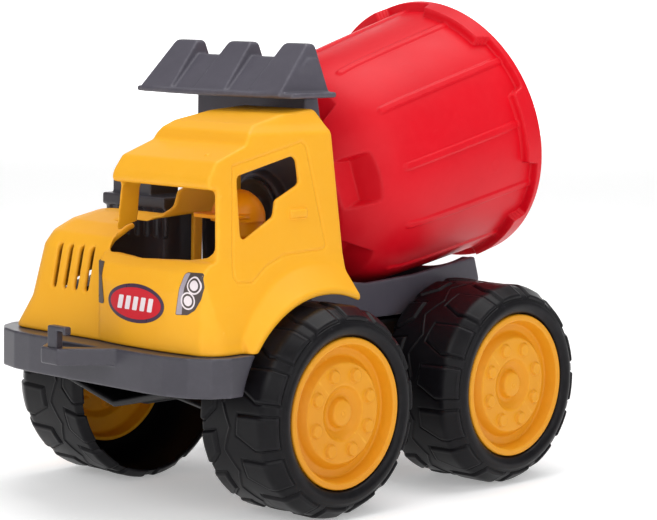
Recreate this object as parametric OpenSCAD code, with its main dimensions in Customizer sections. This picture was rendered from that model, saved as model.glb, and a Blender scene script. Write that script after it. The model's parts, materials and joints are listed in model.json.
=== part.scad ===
// Toy cement mixer truck: a moulded cab on a short chassis, four wide wheels and a
// tilting-axis mixing drum that turns on one big journal behind the cab.
// The truck faces -Y, its left side is +X, and it stands on Z = 0.

/* [Wheels] */
// Outside diameter of a tyre
tyre_d = 95.6; // [95:0.2:96]
// Width over the two outer tyre faces
track_w = 175.4; // [175:0.2:177]
// Width of one tyre, from its outer face to its inner edge
tyre_w = 49.5; // [48:0.5:49.5]
// Diameter of the rim, where the tyre's bead sits
rim_d = 68; // [67:0.5:69]
// Distance between the two axles
wheelbase = 118.2; // [117:0.2:120]
// Diameter of the steel axle rods
axle_d = 5; // [4:0.5:6]
// Radial running clearance of the axles in the chassis
axle_gap = 0.06; // [0.02:0.01:0.10]

/* [Cab and bonnet] */
// Wall thickness of the yellow shell
shell_t = 2.4; // [2:0.1:2.8]
// Height of the shell's lower edge above the ground
shell_z = 77; // [77:0.5:78]
// Reach of the nose in front of the front axle
nose_reach = 70; // [69:0.5:71]
// Radius of the wheel arches
arch_r = 51.5; // [51:0.5:53]
// Number of slots in the grille
grille_slots = 4; // [2:1:4]

/* [Bumper] */
// Reach of the bumper's front face in front of the front axle
bumper_reach = 78; // [77:0.5:79]
// Height of the bumper's face
bumper_h = 17.5; // [16:0.5:19]
// Reach of the towing block in front of the bumper
hitch_l = 20; // [18:0.5:22]

/* [Drum] */
// Tilt of the drum's axis above the horizontal, in degrees
drum_tilt = 13.5; // [13:0.5:14]
// Length of the drum along its axis
drum_l = 118; // [116:1:118]
// Radius of the rim around the drum's mouth
mouth_r = 66.3; // [65:0.1:67]
// Wall thickness of the drum
drum_t = 2.6; // [2.2:0.1:3]
// Number of long ribs on the drum
drum_ribs = 12; // [8:1:12]
// Radius of the drum's journal
journal_r = 8; // [7:0.5:9]
// Radial running clearance of the journal in its bearing
journal_gap = 0.08; // [0.02:0.01:0.10]

/* [Frame and visor] */
// Half width of the grey drum frame
frame_hw = 36; // [34:0.5:36]
// Wall thickness of the frame
frame_t = 3; // [2.5:0.5:3.5]
// Number of ridges on the visor
visor_ridges = 3; // [2:1:3]

/* [Hidden] */

$fn = 48;
eps = 0.01;
far = 400;                       // longer than any part of the truck

tyre_r = tyre_d / 2;
rim_r = rim_d / 2;
axle_r = axle_d / 2;
axle_z = tyre_r;                 // height of both axles
face_x = track_w / 2;            // outer face of the tyres
rim_x = face_x - 1.5;            // outer lip of the rims

// The drum: its mouth's centre, behind and above the front axle.
mouth_y = 157.5;
mouth_z = 165;
drum_front_y = mouth_y - drum_l * cos(drum_tilt);
drum_front_z = mouth_z - drum_l * sin(drum_tilt);

// Everything is laid out from the front axle, then moved so that the origin is in
// the middle of the truck's length.
front_reach = bumper_reach + hitch_l;
rear_reach = mouth_y + mouth_r * sin(drum_tilt);
front_axle_y = (front_reach - rear_reach) / 2;

yellow = "#F5B323";
amber = "#F09A1E";
red = "#DF1F2D";
grey = "#5C5A62";
black = "#1E1C1F";
steel = "#B9BCC0";

// ---------------------------------------------------------------- helpers

module at_truck() translate([0, front_axle_y, 0]) children();

// Extrudes an outline drawn as (y, z) from x0 to x1.
module side_plate(x0, x1) {
    translate([x0, 0, 0]) rotate([90, 0, 90]) linear_extrude(x1 - x0) children();
}

// Extrudes an outline drawn as (x, z) from y0 to y1.
module front_plate(y0, y1) {
    translate([0, y1, 0]) rotate([90, 0, 0]) linear_extrude(y1 - y0) children();
}

// Rounds an outline's outer corners.
module soft(r) offset(r = r) offset(delta = -r) children();

// Turns an outline drawn as (radius, x) about an axle through (y, z).
module about_axle(y, z) {
    translate([0, y, z]) rotate([0, 90, 0]) rotate_extrude($fn = 96) children();
}

// Puts the drum's own frame, +Z along its axis to the mouth, in its place.
module at_drum() {
    translate([0, drum_front_y, drum_front_z]) rotate([drum_tilt - 90, 0, 0]) children();
}

module block(x0, x1, y0, y1, z0, z1) {
    translate([x0, y0, z0]) cube([x1 - x0, y1 - y0, z1 - z0]);
}

module mirrored_x() {
    children();
    mirror([1, 0, 0]) children();
}

// ---------------------------------------------------------------- wheels

tread_t = 3;                     // thickness of the tyre's tread band
wall_t = 2.6;                    // thickness of the tyre's side wall

module tyre_outline() {
    difference() {
        soft(5.5) polygon([
            [rim_r, face_x - 3], [rim_r + 3, face_x], [tyre_r - 5, face_x],
            [tyre_r, face_x - 7.5], [tyre_r, face_x - tyre_w + 3],
            [tyre_r - 6, face_x - tyre_w], [rim_r, face_x - tyre_w]
        ]);
        polygon([
            [0, face_x - 6 - wall_t], [rim_r, face_x - 6 - wall_t], [tyre_r - 7, face_x - 1 - wall_t],
            [tyre_r - tread_t, face_x - 9], [tyre_r - tread_t, face_x - tyre_w + 3],
            [tyre_r - 6.5, face_x - far], [0, face_x - far]
        ]);
        square([2 * rim_r, 4 * face_x], center = true);
    }
}

module tyre(y, side) {
    color(black) at_truck() mirror([side > 0 ? 0 : 1, 0, 0])
        about_axle(y, axle_z) tyre_outline();
}

lug_count = 8;
lug_ring_r = 17.9;
lug_r = 2.9;
lug_turn = 20;
disc_x = rim_x - 2.2;            // face of the raised disc that carries the lugs, and of the hub cap
disc_r = 22.6;
ring_x = rim_x - 6.1;            // sunk ring round the disc
bowl_x = rim_x - 5.5;            // floor of the bowl round the hub cap
bowl_r = 8.4;
cap_r = 7.2;
hub_r = 6.5;
hub_in_x = frame_hw + 3.5;       // inner end of the rim's hub

// Half section of a rim: domed hub cap, bowl round it, raised disc that carries the lugs, sunk ring and lip.
module rim_outline() {
    polygon([
        [0, disc_x + 0.4], [cap_r - 1.2, disc_x], [cap_r, bowl_x + 0.4], [bowl_r, bowl_x],
        [bowl_r + 2.6, bowl_x + 1.6], [bowl_r + 4.2, disc_x], [disc_r, disc_x], [disc_r + 2.8, ring_x],
        [rim_r - 4.8, ring_x], [rim_r - 3, rim_x - 0.2], [rim_r - 2.6, rim_x], [rim_r - 0.4, rim_x],
        [rim_r, rim_x - 0.4], [rim_r, rim_x - 16], [rim_r - 2, rim_x - 16], [rim_r - 2.6, ring_x - 2.2],
        [disc_r + 1, ring_x - 2.2], [disc_r - 1.6, disc_x - 2.4], [bowl_r + 5, disc_x - 2.4],
        [bowl_r + 2, bowl_x - 2], [hub_r, bowl_x - 2.4], [hub_r, hub_in_x], [axle_r, hub_in_x],
        [axle_r, rim_x - 8], [0, rim_x - 8]
    ]);
}

module rim(y, side) {
    color(yellow) at_truck() mirror([side > 0 ? 0 : 1, 0, 0]) {
        about_axle(y, axle_z) rim_outline();
        for (i = [0 : lug_count - 1])
            translate([disc_x - 1, y, axle_z]) rotate([i * 360 / lug_count + lug_turn, 0, 0])
                translate([0, lug_ring_r, 0]) rotate([0, 90, 0]) cylinder(r = lug_r, h = 2, $fn = 24);
    }
}

module axle(y) {
    color(steel) at_truck() translate([8 - rim_x, y, axle_z]) rotate([0, 90, 0])
        cylinder(r = axle_r, h = 2 * (rim_x - 8));
}

// ---------------------------------------------------------------- chassis

rail_x = 27;                     // inner face of the chassis rails
rail_t = 6;
deck_z = shell_z - 3.5;          // underside of the chassis deck
bed_z = shell_z + 2;             // underside of the drum frame
tail_y = 149;                    // rear end of chassis and drum frame
post_x = 24;
cab_screw_xy = [[-post_x, -50], [post_x, -50], [-post_x, 16], [post_x, 16]];
frame_screw_xy = [[-22, 58], [22, 58], [-22, 138], [22, 138]];
screw_r = 1.5;
screw_head_r = 2.8;

module rail_outline() {
    soft(4) polygon([
        [-62, shell_z], [-61, 55], [-50, 53], [-16, 39], [16, 39], [30, 56], [wheelbase - 30, 56],
        [wheelbase - 16, 39], [wheelbase + 16, 39], [tail_y - 3, 62], [tail_y, shell_z]
    ]);
}

module screw_holes(points, z, gap = 0.15) {
    for (p = points)
        translate([p[0], p[1], z]) cylinder(r = screw_r + gap, h = 30, center = true, $fn = 24);
}

module chassis() {
    color(black) at_truck() difference() {
        union() {
            mirrored_x() side_plate(rail_x, rail_x + rail_t) rail_outline();
            block(-rail_x - rail_t, rail_x + rail_t, -62, tail_y, deck_z, shell_z);
            // plates that close the rails under the nose and in the middle
            front_keel();
            block(-rail_x - 1, rail_x + 1, 30, wheelbase - 30, 56, 59);
            // lugs that carry the drum frame above the deck
            block(-rail_x, rail_x, 50, tail_y - 3, shell_z - 1, bed_z);
        }
        for (y = [0, wheelbase])
            translate([0, y, axle_z]) rotate([0, 90, 0])
                cylinder(r = axle_r + axle_gap, h = far, center = true);
        screw_holes(cab_screw_xy, shell_z);
        screw_holes(frame_screw_xy, shell_z);
        screw_holes(bumper_screw_xy, shell_z);
    }
}

// V-shaped plate under the nose.
module front_keel() {
    half = rail_x + rail_t;
    front_plate(-61, -24) polygon([
        [-half, 58], [-half, 55.4], [0, 46.5], [half, 55.4], [half, 58], [0, 49.5]
    ]);
}

// A pan-head screw with its head down, the head's seat at z = 0 and the shank above it.
module screw(length) {
    translate([0, 0, -2]) cylinder(r = screw_head_r, h = 2, $fn = 32);
    cylinder(r = screw_r, h = length, $fn = 24);
}

module screws(points, z, length) {
    color(steel) at_truck()
        for (p = points) translate([p[0], p[1], z]) screw(length);
}

// ---------------------------------------------------------------- bumper

bumper_z = shell_z - bumper_h;
bumper_hw = 74;
bumper_t = 3.5;
bumper_screw_xy = [[-16, -57], [16, -57]];
tongue_z = deck_z - 2.5;
hitch_z = shell_z - 7.5;

module bumper_plan() {
    polygon([
        [-bumper_hw, -44], [-bumper_hw, -59], [-70, -67], [-62, -73.5], [-50, -77], [-38, -bumper_reach],
        [38, -bumper_reach], [50, -77], [62, -73.5], [70, -67], [bumper_hw, -59], [bumper_hw, -44]
    ]);
}

module hitch_plan() {
    polygon([
        [-22, -bumper_reach + 1], [-5.5, -front_reach], [5.5, -front_reach], [22, -bumper_reach + 1]
    ]);
}

module bumper() {
    color(grey) at_truck() difference() {
        union() {
            difference() {
                translate([0, 0, bumper_z]) linear_extrude(bumper_h) bumper_plan();
                translate([0, 0, bumper_z - 1]) linear_extrude(bumper_h - 2)
                    union() {
                        offset(delta = -bumper_t) bumper_plan();
                        block_2d(bumper_t - bumper_hw, bumper_hw - bumper_t, -58, -40);
                    }
                // opening in the top plate, round the chassis and the tyres
                block(-60, 60, -63, -40, bumper_z - 1, shell_z + 1);
            }
            translate([0, 0, hitch_z]) linear_extrude(shell_z - hitch_z) hitch_plan();
            // tongue that is screwed under the chassis deck
            block(-22, 22, -76, -54, tongue_z, deck_z);
        }
        // tyre clearance at the bumper's ends
        translate([0, 0, axle_z]) rotate([0, 90, 0]) cylinder(r = arch_r + 1.5, h = far, center = true, $fn = 96);
        // wedge-shaped recess behind the hook
        translate([0, 0, shell_z - 2.5]) linear_extrude(4)
            polygon([[-2.5, -front_reach + 7.5], [2.5, -front_reach + 7.5], [13, -bumper_reach - 2.5], [-13, -bumper_reach - 2.5]]);
        // slot that the hook's foot is pressed into
        hook_foot();
        screw_holes(bumper_screw_xy, shell_z);
    }
}

module hook_foot() {
    block(-3, 3, -front_reach + 1.5, -front_reach + 5.5, shell_z - 4, shell_z);
}

module tow_hook() {
    color(grey) at_truck() {
        hook_foot();
        front_plate(-front_reach + 1.5, -front_reach + 5.5) soft(0.8) polygon([
            [-3, shell_z - 1], [-3, shell_z + 9.5], [8.6, shell_z + 9.5], [8.6, shell_z + 5.8],
            [7, shell_z + 5.8], [7, shell_z + 7.4], [3, shell_z + 7.4], [3, shell_z - 1]
        ]);
    }
}

// ---------------------------------------------------------------- cab shell

cab_x0 = -5.5;                   // right wall of the cab, at its foot
cab_x1 = 64;                     // left wall of the cab, at its foot
cab_back = 21.5;                 // rear edge of the shell
arch_lip_x = 74;
roof_z = 180.5;

// The cab seen from its side, (y, z): nose, windscreen notch, brow and stepped roof.
// back moves the rear edge, so that the hollow inside runs out through it.
module cab_side(back = 0) {
    soft(2.2) polygon([
        [-nose_reach - 0.8, shell_z], [-nose_reach, 104], [-67, 112], [-61.5, 116.2], [-57.5, 117],
        [-55, 147.5], [-61, 147.5], [-59.5, 153], [-55, 159.5], [-37, 166], [-34, 171.5], [-28, 174.5],
        [-8, 178.5], [14 + back, roof_z], [17 + back, 174], [21 + back, 115], [cab_back + back, 104],
        [cab_back + back, shell_z - 5], [-nose_reach - 0.8, shell_z - 5]
    ]);
}

// The cab seen from the front, (x, z).
module cab_front() {
    soft(3) polygon([
        [cab_x0, shell_z - 5], [cab_x0, 117], [-1.5, 168], [1.5, 172.5], [5.5, roof_z], [50, roof_z],
        [54, 174], [58.2, 170.5], [cab_x1 - 0.8, 116], [67, 98], [70, shell_z], [70, shell_z - 5]
    ]);
}

// The cab seen from above, (x, y): a bowed front with round corners.
module cab_plan() {
    intersection() {
        soft(15) block_2d(cab_x0 - 2, 69, -nose_reach - 1, cab_back + 60);
        translate([28, 118]) circle(r = nose_reach + 119, $fn = 180);
    }
}

module block_2d(x0, x1, y0, y1) translate([x0, y0]) square([x1 - x0, y1 - y0]);

module cab_block(shrink, back = 0) {
    intersection() {
        side_plate(-90, 90) offset(delta = -shrink) cab_side(back);
        front_plate(-90, 90) offset(delta = -shrink) cab_front();
        translate([0, 0, 60]) linear_extrude(140) offset(delta = -shrink) cab_plan();
    }
}

// Bonnet and front skirt over the truck's full width, as levels from the skirt's foot to the
// bonnet's top: [height, right edge, left edge, front edge]. The bonnet is the upper run of them.
bonnet_levels = [
    [shell_z - 5, -66, 70, -68.5], [shell_z + 1, -66, 70, -68.5], [92, -58, 66, -66],
    [116, -55.5, 30, -61], [122, -54.5, 20, -56.5], [127, -52.5, 20, -47], [130.5, -49, 20, -34],
    [132.5, -44, 20, -16]
];
skirt_top = 2;                   // index of the level where the skirt ends

module level(l, shrink, back) {
    translate([0, 0, l[0] - shrink]) linear_extrude(eps)
        offset(r = 12 - shrink) offset(delta = -12)
            block_2d(l[1], l[2], l[3], cab_back + back + 10);
}

module bonnet_run(first, last, shrink, back) {
    hull() for (i = [first : last]) level(bonnet_levels[i], shrink, back, $fn = 32);
}

module bonnet_block(shrink, back = 0) {
    intersection() {
        union() {
            bonnet_run(0, skirt_top, shrink, back);
            bonnet_run(skirt_top, len(bonnet_levels) - 1, shrink, back);
        }
        block(-90, 90, -90, cab_back + back, 0, far);
    }
}

// Flared wheel arch: a cone round the front axle from the side wall out to the arch's lip.
module arch_flare(shrink, back = 0) {
    intersection() {
        about_axle(0, axle_z) polygon([
            [0, 50], [74 - shrink, 50], [74 - shrink, 55 - shrink], [arch_r + 3, arch_lip_x - shrink], [0, arch_lip_x - shrink]
        ]);
        block(-far, far, -47.5 + shrink, cab_back + back, shell_z - 5, far);
    }
}

module side_window() {
    soft(2) polygon([
        [-43, 152.6], [-8.5, 160.2], [-6.2, 158.5], [-5.2, 148.2], [-20.5, 141.7], [-22.3, 134.6], [-42.6, 124.6]
    ]);
}

// Lower part of the wall between cab and bonnet that is left open, (y, z).
module bonnet_arch() {
    polygon([
        [-63, 90], [-59.5, 115.6], [-55.7, 121.4], [-50.4, 126.2], [-40.8, 128.6], [-17.6, 130],
        [-8, 130.4], [-5.5, 128.4], [-5.5, 90]
    ]);
}

exhaust_x0 = -54;
exhaust_x1 = -13;
exhaust_y0 = -19;
exhaust_y1 = 4;
exhaust_z = 102;                 // underside of the part that overhangs the wheel

module cab_shell() {
    color(yellow) at_truck() difference() {
        union() {
            cab_block(0);
            bonnet_block(0);
            mirrored_x() arch_flare(0);
        }
        cab_block(shell_t, 30);
        bonnet_block(shell_t, 30);
        mirrored_x() arch_flare(shell_t, 30);
        // open underside
        block(-90, 90, -90, 60, 0, shell_z);
        // wheel arches
        mirrored_x() translate([36.5, 0, axle_z]) rotate([0, 90, 0]) cylinder(r = arch_r, h = 60, $fn = 96);
        // windscreen
        windscreen();
        // side windows, through both walls of the cab
        side_plate(-20, 90) side_window();
        // grille slots
        for (i = [0 : grille_slots - 1])
            front_plate(-75, -45) translate([first_slot_x + slot_pitch * i, 0]) grille_slot();
        // arched opening from the cab into the bonnet
        side_plate(cab_x0 - 1, cab_x0 + shell_t + 2) bonnet_arch();
        // cut-out in the bonnet for the exhaust
        block(exhaust_x0 - 2, exhaust_x1 + 6, exhaust_y0 - 6, exhaust_y1 + 6, 118, 140);
    }
    color(yellow) at_truck() cab_posts();
}

first_slot_x = -37.3;
slot_pitch = 7.4;
slot_hw = 1.3;
slot_z = [98.4, 115.8];          // centres of the slot's round ends

module grille_slot() {
    block_2d(-slot_hw, slot_hw, slot_z[0], slot_z[1]);
    for (z = slot_z) translate([0, z]) circle(r = slot_hw, $fn = 24);
}

// Screw posts that stand on the deck, webbed to the nose and to a strip across the back.
module cab_posts() {
    difference() {
        union() {
            for (p = cab_screw_xy) translate([p[0], p[1], shell_z]) cylinder(r = 3.4, h = 8);
            for (x = [-post_x, post_x]) {
                block(x - 1.2, x + 1.2, -66.8, -50, shell_z, shell_z + 8);
                block(x - 1.2, x + 1.2, 16, cab_back, shell_z, 104);
            }
            block(-57, 63.5, cab_back - shell_t, cab_back, 98, 104);
        }
        for (p = cab_screw_xy)
            translate([p[0], p[1], shell_z - 1]) cylinder(r = screw_r, h = 8, $fn = 24);
    }
}

module windscreen() {
    front_plate(-90, -30) soft(2.5) polygon([
        [-4.4, 116.6], [-1.6, 147.2], [57.4, 147.2], [60.2, 121.5], [56, 118.4], [46, 116.6], [18, 115.4]
    ]);
}

// ---------------------------------------------------------------- stickers

sticker_t = 0.3;

module badge_sticker() {
    color(red) at_truck() intersection() {
        nose_skin();
        front_plate(-90, -40) translate([23.5, 96.6]) scale([1.72, 1]) circle(r = 8.6, $fn = 64);
    }
}

// A thin skin that lies on the outside of the nose.
module nose_skin() {
    difference() {
        cab_block(-sticker_t);
        cab_block(0);
    }
}

module headlight_outline() {
    soft(1.2) polygon([
        [50.1, 94.1], [56.7, 94.6], [60.7, 97], [63.6, 101.7], [64.9, 107.1], [64.2, 113], [53.1, 112.6]
    ]);
}

module headlight_sticker_left() {
    color(grey) at_truck() intersection() {
        nose_skin();
        front_plate(-90, -61) headlight_outline();
    }
}

module headlight_sticker_right() {
    color(grey) at_truck() difference() {
        intersection() {
            nose_skin();
            front_plate(-90, -58) translate([53.5, 0]) mirror([1, 0]) headlight_outline();
        }
        bonnet_block(0);
    }
}

// ---------------------------------------------------------------- exhaust

module exhaust_stack() {
    color(grey) at_truck() {
        difference() {
            union() {
                block(exhaust_x0, exhaust_x1, exhaust_y0, exhaust_y1, 119, 136);
                block(exhaust_x0 + 3.5, exhaust_x1, exhaust_y0, exhaust_y1, exhaust_z, 120);
                block(-32, exhaust_x1, exhaust_y0, exhaust_y1, shell_z, exhaust_z + 1);
            }
            block(-30, exhaust_x1 - 2, exhaust_y0 + 2, exhaust_y1 - 2, shell_z - 1, 130);
        }
        for (i = [0 : 6])
            block(exhaust_x0 + 2 + 6.4 * i, exhaust_x0 + 4.4 + 6.4 * i, exhaust_y0 - 1, exhaust_y0 + 1, 119, 132);
        block(exhaust_x0 - 1, exhaust_x1 + 1, exhaust_y0 - 1.4, exhaust_y1 + 1, 132, 137.5);
        front_plate(exhaust_y0 + 2, exhaust_y1 - 3) soft(4)
            polygon([[-51.5, 130], [-51.5, 149], [-25, 149], [-25, 130]]);
    }
}

// ---------------------------------------------------------------- drum frame

bearing_front = -14;             // ends of the bearing boss along the drum's axis
bearing_back = -1;
boss_r = 14;
visor_z = 185;                   // underside of the visor's plate
neck_hw = 34;
visor_screw_xy = [[-22, 27.5], [22, 27.5]];

module frame_side() {
    polygon([
        [24, visor_z], [31, visor_z], [46.5, 107], [49.5, 101], [56, 97.6], [66, 96.2], [100, 97.8],
        [145.5, 103.4], [tail_y, 92.8], [tail_y, bed_z], [37, bed_z], [31, 84], [26.5, 96]
    ]);
}

module drum_frame() {
    color(grey) at_truck() difference() {
        union() {
            mirrored_x() side_plate(frame_hw - frame_t, frame_hw) frame_side();
            // bulkhead behind the cab, parallel to the drum's front
            intersection() {
                side_plate(-frame_hw, frame_hw) frame_side();
                at_drum() block(-frame_hw, frame_hw, -33, 70, -8, -4.6);
            }
            block(-frame_hw, frame_hw, 24, 31, visor_z - 3, visor_z);
            // apron under the front edge of the visor
            block(-frame_hw, frame_hw, 22.4, 24.6, visor_z - 17, visor_z);
            // wall across the tail, cut to the drum's round underside
            difference() {
                block(-frame_hw, frame_hw, tail_y - 6, tail_y - 3.5, bed_z, 103);
                at_drum() translate([0, 0, 60]) cylinder(r = mouth_r - 2.3, h = 70);
            }
            block(-frame_hw, frame_hw, 36, tail_y, bed_z, bed_z + 3);
            block(-frame_hw, frame_hw, tail_y - 3, tail_y, bed_z, 91);
            at_drum() translate([0, 0, bearing_front])
                cylinder(r = boss_r, h = bearing_back - bearing_front);
            for (p = visor_screw_xy)
                translate([p[0], p[1], visor_z - 12]) cylinder(r = 3.2, h = 10);
        }
        at_drum() translate([0, 0, bearing_front - 5]) cylinder(r = journal_r + journal_gap, h = 30);
        screw_holes(frame_screw_xy, bed_z, 0);
        screw_holes(visor_screw_xy, visor_z - 5);
    }
}

// ---------------------------------------------------------------- visor

ridge_pitch = 36;
ridge_w = 15;
visor_hw = 52;
visor_t = 2.6;
visor_top = 209.5;
valley_top = 203;

module visor_plan() {
    soft(1) polygon([
        [-visor_hw, -2], [-26, -7.5], [0, -10], [26, -7.5], [visor_hw, -2], [visor_hw - 3, 30], [3 - visor_hw, 30]
    ]);
}

module wedge(top, front) {
    soft(1.5) polygon([[front, visor_z], [15.5 - (visor_top - top) * 0.1, top], [20.5, top], [28, visor_z]]);
}

module roof_visor() {
    color(grey) at_truck() difference() {
        union() {
            translate([0, 0, visor_z]) linear_extrude(visor_t) visor_plan();
            side_plate(-45.5, 45.5) wedge(valley_top, -5);
            intersection() {
                side_plate(-60, 60) wedge(visor_top, -7);
                front_plate(-20, 40)
                    for (i = [0 : visor_ridges - 1])
                        translate([(i - (visor_ridges - 1) / 2) * ridge_pitch, 0])
                            soft(2) polygon([[-11, visor_z], [-ridge_w / 2, visor_top], [ridge_w / 2, visor_top], [11, visor_z]]);
            }
        }
        // hollow underside
        side_plate(-43, 43) offset(delta = -2.4) wedge(valley_top, -5);
        block(-43, 43, 2, 17.5, visor_z - 1, visor_z + 4);
        for (p = visor_screw_xy)
            translate([p[0], p[1], visor_z - 1]) cylinder(r = screw_r, h = 6, $fn = 24);
    }
}

// ---------------------------------------------------------------- drum

// Outside of the drum as (radius, distance from its front face).
function drum_profile(inset) = [
    [34 - inset, 0], [38.5 - inset, 3], [54.5 - inset, 24], [57.5 - inset, 38], [59.5 - inset, 68], [61.5 - inset, 101]
];

module drum_solid(inset, z0, z1) {
    rotate_extrude($fn = 120) intersection() {
        polygon(concat([[0, 0]], drum_profile(inset), [[61.5 - inset, drum_l + 5], [0, drum_l + 5]]));
        translate([0, z0]) square([90, z1 - z0]);
    }
}

rib_turn = 20.5;
pocket_count = 6;
pocket_hw = 12;
rim_l = 11;                      // length of the rim along the axis
rim_band_l = 4;                  // length of its narrow band
rim_cut_turn = 51;
lip_l = 1.4;                     // depth of the wider lip inside the mouth

module drum_shell() {
    color(red) at_truck() at_drum() difference() {
        union() {
            drum_solid(0, 0, drum_l);
            // rim round the mouth, cut back to a narrow band in every other twelfth
            difference() {
                translate([0, 0, drum_l - rim_l]) cylinder(r = mouth_r, h = rim_l, $fn = 120);
                for (i = [0 : 5]) rotate(i * 60 - rim_cut_turn)
                    rotate_extrude(angle = 30, $fn = 120)
                        translate([55, drum_l - rim_l - 1]) square([30, rim_l + 1 - rim_band_l]);
            }
            for (i = [0 : drum_ribs - 1]) rotate(i * 360 / drum_ribs + rib_turn) drum_rib();
            translate([0, 0, bearing_front - 0.4]) cylinder(r = journal_r, h = 16);
        }
        difference() {
            drum_solid(drum_t, 2.6, drum_l + 1);
            drum_pockets(drum_t);
        }
        drum_pockets(0);
        translate([0, 0, drum_l - lip_l]) cylinder(r = mouth_r - drum_t, h = 20, $fn = 120);
        translate([0, 0, bearing_front - 2]) cylinder(r = screw_r, h = 12, $fn = 24);
    }
}

// Flat-floored pockets round the drum's narrow end; grow adds the wall that follows them inside.
module drum_pockets(grow) {
    for (i = [0 : pocket_count - 1]) rotate(i * 360 / pocket_count - 8)
        translate([0, pocket_hw + grow, 0]) rotate([90, 0, 0])
            linear_extrude(2 * (pocket_hw + grow))
                polygon([[37 - grow, -1], [39 - grow, 11.5 + grow], [55, 21 + grow], [70, -1]]);
}

// Low rib that runs along the drum from behind the pockets to the rim.
module drum_rib() {
    rotate_extrude(angle = 3.2, $fn = 120)
        polygon([[50, 38], [57.5, 38], [58.4, 39], [60.4, 68], [62.4, 101], [62.4, 114], [50, 114]]);
}

module drum_retainer() {
    color(grey) at_truck() at_drum() translate([0, 0, bearing_front - 2.9]) difference() {
        cylinder(r = 12.5, h = 2.5);
        translate([0, 0, -1]) cylinder(r = screw_r + 0.2, h = 5, $fn = 24);
    }
}

module drum_screw() {
    color(steel) at_truck() at_drum() translate([0, 0, bearing_front - 2.9]) screw(11);
}

// ---------------------------------------------------------------- driver

driver_x = 29;
driver_y = -8;
seat_z = 96;
head_z = 129;
head_top = head_z + 5;

module driver_seat() {
    color(black) at_truck() {
        block(driver_x - 9, driver_x + 7.5, driver_y - 9, driver_y + 11, shell_z, seat_z);
        block(driver_x - 9, driver_x + 7.5, driver_y + 11, driver_y + 14, shell_z, 124);
    }
}

module driver_body() {
    color(amber) at_truck() translate([driver_x, driver_y, seat_z])
        rotate_extrude() polygon([[0, 0], [8.6, 0], [9, 10], [8, 18], [4, 22], [3.4, 26], [0, 26]]);
}

module driver_head() {
    color(amber) at_truck() translate([driver_x, driver_y, head_z - 7]) rotate_extrude()
        soft(3) polygon([[0, 0], [6.5, 0], [8.6, 6], [8.6, 12], [0, 12]]);
}

module driver_helmet() {
    color(amber) at_truck() translate([driver_x, driver_y, head_z + 2]) {
        difference() {
            sphere(r = 12.4, $fn = 48);
            sphere(r = 10.6, $fn = 48);
            translate([0, 0, -20]) cube([60, 60, 40], center = true);
        }
        difference() {
            translate([0, -4, 0]) scale([1, 1.4, 1]) cylinder(r = 13, h = 1.4);
            translate([0, 0, -1]) cylinder(r = 10.6, h = 4);
            block(-20, 20, 6, 30, -1, 3);
        }
        // pad that rests on the head
        translate([0, 0, head_top - head_z - 2]) cylinder(r = 10.2, h = 1.5);
    }
}

// ---------------------------------------------------------------- nodes

chassis();
bumper();
tow_hook();
drum_frame();
roof_visor();
exhaust_stack();
cab_shell();
driver_seat();
driver_body();
driver_head();
driver_helmet();
axle(0);  // axle_front
axle(wheelbase);  // axle_rear
tyre(0, 1);  // tyre_front_left
tyre(0, -1);  // tyre_front_right
tyre(wheelbase, 1);  // tyre_rear_left
tyre(wheelbase, -1);  // tyre_rear_right
rim(0, 1);  // rim_front_left
rim(0, -1);  // rim_front_right
rim(wheelbase, 1);  // rim_rear_left
rim(wheelbase, -1);  // rim_rear_right
drum_shell();
drum_retainer();
drum_screw();
badge_sticker();
headlight_sticker_left();
headlight_sticker_right();
screws(bumper_screw_xy, tongue_z, 5.5);  // bumper_screws
screws(cab_screw_xy, deck_z, 9);  // cab_screws
screws(frame_screw_xy, deck_z, 8);  // frame_screws
screws(visor_screw_xy, visor_z - 12, 15);  // visor_screws
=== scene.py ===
"""Looks of the toy cement mixer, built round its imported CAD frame.

The moulded parts are made in two ways. Parts that are turned (tyres, rims, drum, screws) are lathed from a
rounded outline, with a relief function that raises their blocks, studs and ribs. The other moulded parts start
as the CAD solid's distance field, which is blurred so that every edge gets a moulded radius, edited (door
groove, handle, hard hat) and turned back into a mesh. Stickers are films laid on the cab's front.
Lengths are in millimetres until a mesh is made; the scene is in metres.
"""

import json
import math
import bpy
import numpy as np
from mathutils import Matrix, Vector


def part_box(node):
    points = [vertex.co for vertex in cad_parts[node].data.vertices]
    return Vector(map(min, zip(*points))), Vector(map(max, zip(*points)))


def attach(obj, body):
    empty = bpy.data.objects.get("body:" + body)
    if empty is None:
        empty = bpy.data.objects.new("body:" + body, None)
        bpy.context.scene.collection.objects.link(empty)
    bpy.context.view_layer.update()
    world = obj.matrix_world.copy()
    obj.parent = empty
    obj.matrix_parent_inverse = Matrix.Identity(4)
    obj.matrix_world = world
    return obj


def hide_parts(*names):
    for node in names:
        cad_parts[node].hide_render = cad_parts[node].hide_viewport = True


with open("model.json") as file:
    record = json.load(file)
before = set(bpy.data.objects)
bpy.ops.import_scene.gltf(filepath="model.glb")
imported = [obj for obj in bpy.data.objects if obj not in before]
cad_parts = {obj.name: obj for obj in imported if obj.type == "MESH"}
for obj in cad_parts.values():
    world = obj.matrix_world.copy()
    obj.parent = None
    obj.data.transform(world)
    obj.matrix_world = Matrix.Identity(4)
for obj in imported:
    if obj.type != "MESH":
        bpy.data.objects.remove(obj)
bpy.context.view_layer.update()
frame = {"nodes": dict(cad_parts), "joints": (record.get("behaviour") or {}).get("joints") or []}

import openvdb
from mathutils import Matrix, Vector
from mathutils.bvhtree import BVHTree

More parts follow.
